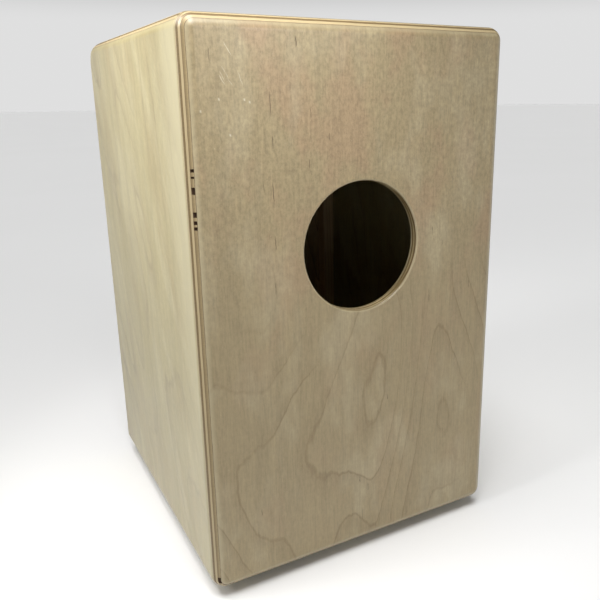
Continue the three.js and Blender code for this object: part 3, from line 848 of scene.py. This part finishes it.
PINE, PINE_DARK = (0.66, 0.50, 0.29), (0.45, 0.27, 0.12)
BEECH, BEECH_DARK = (0.56, 0.37, 0.22), (0.36, 0.20, 0.10)
WOODS = {
    "front_top_rail": ("X", "beech"), "front_batten_bottom": ("X", "pine"),
    "front_batten_left": ("Z", "pine"), "front_batten_right": ("Z", "pine"),
    "rear_batten_left": ("Z", "pine"), "rear_batten_right": ("Z", "pine"),
    "rear_batten_top": ("X", "pine"), "rear_batten_bottom": ("X", "pine"),
    "snare_block_left": ("Z", "beech"), "snare_block_right": ("Z", "beech"),
    "snare_bar": ("X", "beech"),
}
for number, (node, (grain, wood)) in enumerate(WOODS.items()):
    if wood == "pine":
        material = solid_wood(f"{node}_pine", grain, PINE, PINE_DARK, 1.7 * number, 2.6)
    else:
        material = solid_wood(f"{node}_beech", grain, BEECH, BEECH_DARK, 1.7 * number, 3.4, 0.4)
    body = "snare_carriage" if node == "snare_bar" else "cabinet"
    place_piece(eased_copy(node, 0.5 * MM), node, body, material)

# ---------------------------------------------------------------- feet

FOOT_STEPS = 56


def foot_profile(tall):
    """A foot's section as (radius, height), round from its screw bore, in millimetres."""
    bore = [(2.3, 4.5), (6.6, 4.5), (7.0, 4.1), (7.0, 0.5), (7.4, 0.08), (7.9, 0)]
    sole = [(14.2, 0), (14.9, 0.12), (15.4, 0.5), (15.6, 1.1)]
    flank = [(16.9, tall - 0.7), (16.95, tall - 0.3), (16.7, tall), (2.3, tall)]
    return bore + sole + flank


def rubber_foot(node):
    """A foot turned about its own axis as a ring, open down its screw bore."""
    low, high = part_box(node)
    centre = (low + high) / 2
    profile = foot_profile((high.z - low.z) / MM)
    count = len(profile)
    vertices = []
    faces = []
    for i in range(FOOT_STEPS):
        a = 2 * math.pi * i / FOOT_STEPS
        vertices += [(centre.x + r * MM * math.cos(a), centre.y + r * MM * math.sin(a), z * MM)
                     for r, z in profile]
        for k in range(count):
            m, n = (i + 1) % FOOT_STEPS, (k + 1) % count
            faces.append((i * count + k, i * count + n, m * count + n, m * count + k))
    foot = add_mesh(f"{node}_fine", vertices, faces)
    smooth_shading(foot, edge=0)
    return foot


rubber_material = rubber()
for node in [n for n in NODES if n.startswith("foot_") and "screw" not in n]:
    place_piece(rubber_foot(node), node, "cabinet", rubber_material)

# ---------------------------------------------------------------- snare sets

WIRES = 10
WIRE_PITCH = 6 * MM
COIL_RADIUS = 0.82 * MM
STRAND = 0.2 * MM
COIL_PITCH = 0.9 * MM
COIL_STEPS = 9
COIL_SIDES = 4
PLATE_WIDE, PLATE_TALL, PLATE_THICK = 64 * MM, 14 * MM, 1 * MM
PLATE_CORNER = 1.5 * MM
PLATE_CORNER_STEPS = 5
PLATE_EDGE = 0.15 * MM
PLATE_BORE = 1.6 * MM
PLATE_BORE_REACH = 8 * MM
WIRE_OVERLAP = 0.5 * MM


def coil(vertices, faces, x, y, z0, z1):
    """A wire wound into a long spring from z0 to z1, as a tube."""
    turns = (z1 - z0) / COIL_PITCH
    steps = int(turns * COIL_STEPS)
    first = len(vertices)
    rise = Vector((0, 0, 1))
    for i in range(steps + 1):
        t = i / steps
        a = 2 * math.pi * turns * t
        out = Vector((math.cos(a), math.sin(a), 0))
        centre = Vector((x, y, z0 + (z1 - z0) * t)) + out * (COIL_RADIUS - STRAND)
        for k in range(COIL_SIDES):
            b = 2 * math.pi * k / COIL_SIDES
            vertices.append(centre + STRAND * (math.cos(b) * out + math.sin(b) * rise))
    for i in range(steps):
        for k in range(COIL_SIDES):
            n = (k + 1) % COIL_SIDES
            a, b = first + i * COIL_SIDES, first + (i + 1) * COIL_SIDES
            faces.append((a + k, a + n, b + n, b + k))
    faces.append(tuple(first + k for k in range(COIL_SIDES)))
    faces.append(tuple(first + steps * COIL_SIDES + k for k in reversed(range(COIL_SIDES))))


def snare_plate(node, screws, centre_x, plate_z, back):
    """The steel end plate that a set's wires are joined to, drilled for its two screws."""
    ring = []
    for quarter, (sx, sz) in enumerate(((1, 1), (-1, 1), (-1, -1), (1, -1))):
        for step in range(PLATE_CORNER_STEPS + 1):
            a = (quarter + step / PLATE_CORNER_STEPS) * math.pi / 2
            ring.append((centre_x + sx * (PLATE_WIDE / 2 - PLATE_CORNER) + PLATE_CORNER * math.cos(a),
                         plate_z + sz * (PLATE_TALL / 2 - PLATE_CORNER) + PLATE_CORNER * math.sin(a)))
    plate = loft(f"{node}_fine", [[(x, y, z) for x, z in ring] for y in (back - PLATE_THICK, back)])
    bore = [(0, -PLATE_BORE_REACH), (PLATE_BORE, -PLATE_BORE_REACH), (PLATE_BORE, PLATE_BORE_REACH),
            (0, PLATE_BORE_REACH)]
    for screw in screws:
        drill = lathe("drill", bore, SCREW_STEPS)
        drill.data.transform(Matrix.Translation(head_centre(screw, (0, -1, 0))) @ pointing((0, -1, 0)))
        boolean(plate, drill, "DIFFERENCE")
    smooth_shading(plate, edge=PLATE_EDGE)
    return plate


def snare_set(side):
    """An end plate with its wires standing up from it, as one piece."""
    node = f"snare_set_{side}"
    low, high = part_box(node)
    centre_x = (low.x + high.x) / 2
    back = high.y
    plate_z = low.z + PLATE_TALL / 2
    screws = (f"snare_screw_{side}_inner", f"snare_screw_{side}_outer")
    plate = snare_plate(node, screws, centre_x, plate_z, back)
    vertices, faces = [], []
    wire_y = (low.y + back - PLATE_THICK) / 2
    for i in range(WIRES):
        x = centre_x + (i - (WIRES - 1) / 2) * WIRE_PITCH
        coil(vertices, faces, x, wire_y, plate_z - WIRE_OVERLAP, high.z)
    coils = add_mesh("coils", vertices, faces)
    coils.data.shade_smooth()
    merged = bmesh.new()
    merged.from_mesh(plate.data)
    merged.from_mesh(coils.data)
    merged.to_mesh(plate.data)
    merged.free()
    bpy.data.objects.remove(coils)
    place_piece(plate, node, "snare_carriage", snare_steel)


for side in ("left", "right"):
    snare_set(side)

# ---------------------------------------------------------------- floor, light and camera


FLOOR_REACH = 40


def floor_material():
    g = Graph("floor")
    soft = g.noise(g.metres, 1.2, 3.0)
    tone = g.colour(soft, (0.90, 0.90, 0.895), (0.93, 0.93, 0.928))
    return g.finish(tone, 0.75)


corners = ((-1, -1), (1, -1), (1, 1), (-1, 1))
floor = add_mesh("floor", [(x * FLOOR_REACH, y * FLOOR_REACH, 0) for x, y in corners], [(0, 1, 2, 3)])
floor.data.materials.append(floor_material())


def aim(piece, place, target):
    """Puts a light at a place and turns it to face a target."""
    piece.location = place
    piece.rotation_euler = (Vector(target) - Vector(place)).to_track_quat("-Z", "Y").to_euler()


def area_light(name, place, target, size, power, spread=180):
    lamp = bpy.data.lights.new(name, "AREA")
    lamp.shape = "RECTANGLE"
    lamp.size, lamp.size_y = size
    lamp.energy = power
    lamp.spread = math.radians(spread)
    made = bpy.data.objects.new(name, lamp)
    scene.collection.objects.link(made)
    aim(made, place, target)


def sun_light(name, towards, strength, angle):
    lamp = bpy.data.lights.new(name, "SUN")
    lamp.energy = strength
    lamp.angle = math.radians(angle)
    made = bpy.data.objects.new(name, lamp)
    scene.collection.objects.link(made)
    aim(made, (0, 0, 0), towards)


area_light("back_window", (-0.50, 1.60, 0.82), (0.03, 0.163, 0.45), (0.35, 0.35), 3.2)
area_light("rear_softbox", (0.12, 0.36, 0.72), (0.08, 0.16, 0.46), (0.2, 0.2), 0.38, spread=80)
area_light("side_softbox", (0.42, 0.0, 0.75), (0.15, 0.04, 0.44), (0.2, 0.2), 0.55, spread=80)
area_light("side_window", (1.0, 0.1, 0.9), (0.15, 0.04, 0.40), (0.4, 0.4), 0.6, spread=50)
sun_light("overhead", (-0.1, -0.1, -1), 2.0, 40)


def studio_world():
    """A white surround: bright to a little above the horizon, and dimmer higher up."""
    world = bpy.data.worlds.new("studio")
    world.use_nodes = True
    tree = world.node_tree
    tree.nodes.clear()
    background = tree.nodes.new("ShaderNodeBackground")
    out = tree.nodes.new("ShaderNodeOutputWorld")
    coordinates = tree.nodes.new("ShaderNodeTexCoord")
    split = tree.nodes.new("ShaderNodeSeparateXYZ")
    ramp = tree.nodes.new("ShaderNodeMapRange")
    ramp.interpolation_type = "SMOOTHSTEP"
    for key, value in (("From Min", 0.10), ("From Max", 0.22), ("To Min", 0.74), ("To Max", 0.15)):
        ramp.inputs[key].default_value = value
    tree.links.new(coordinates.outputs["Generated"], split.inputs[0])
    tree.links.new(split.outputs[2], ramp.inputs["Value"])
    tree.links.new(ramp.outputs[0], background.inputs["Strength"])
    tree.links.new(background.outputs[0], out.inputs[0])
    background.inputs["Color"].default_value = (1, 1, 1, 1)
    return world


scene.world = studio_world()
scene.view_settings.view_transform = "Standard"
scene.view_settings.look = "None"

# The camera stands behind the box on its left side, a little below the level of its top. Its
# place, direction, lens and shift were fitted to the photograph. Degrees, metres and, for the
# lens and the sensor, millimetres.
AZIMUTH, ELEVATION, ROLL = (math.radians(v) for v in (150.409, 15.551, -0.585))
CAMERA_PLACE = Vector((0.3021, 0.6508, BASE + 0.4175))
SENSOR_WIDTH = 36
FOCAL_LENGTH = 40.48
SHIFT_X, SHIFT_Y = -0.0647, -0.0195
CLIP_START, CLIP_END = 0.01, 200


def add_camera():
    """A camera with the photograph's view, made the scene's own."""
    forward = Vector((-math.sin(AZIMUTH) * math.cos(ELEVATION), math.cos(AZIMUTH) * math.cos(ELEVATION),
                      -math.sin(ELEVATION)))
    level = forward.cross(Vector((0, 0, 1))).normalized()
    upright = level.cross(forward)
    right = math.cos(ROLL) * level + math.sin(ROLL) * upright
    up = -math.sin(ROLL) * level + math.cos(ROLL) * upright
    lens = bpy.data.cameras.new("camera")
    lens.sensor_width = SENSOR_WIDTH
    lens.lens = FOCAL_LENGTH
    lens.shift_x = SHIFT_X
    lens.shift_y = SHIFT_Y
    lens.clip_start = CLIP_START
    lens.clip_end = CLIP_END
    camera = bpy.data.objects.new("camera", lens)
    scene.collection.objects.link(camera)
    turn = Matrix((right, up, -forward)).transposed().to_4x4()
    camera.matrix_world = Matrix.Translation(CAMERA_PLACE) @ turn
    scene.camera = camera


add_camera()

bpy.context.view_layer.update()
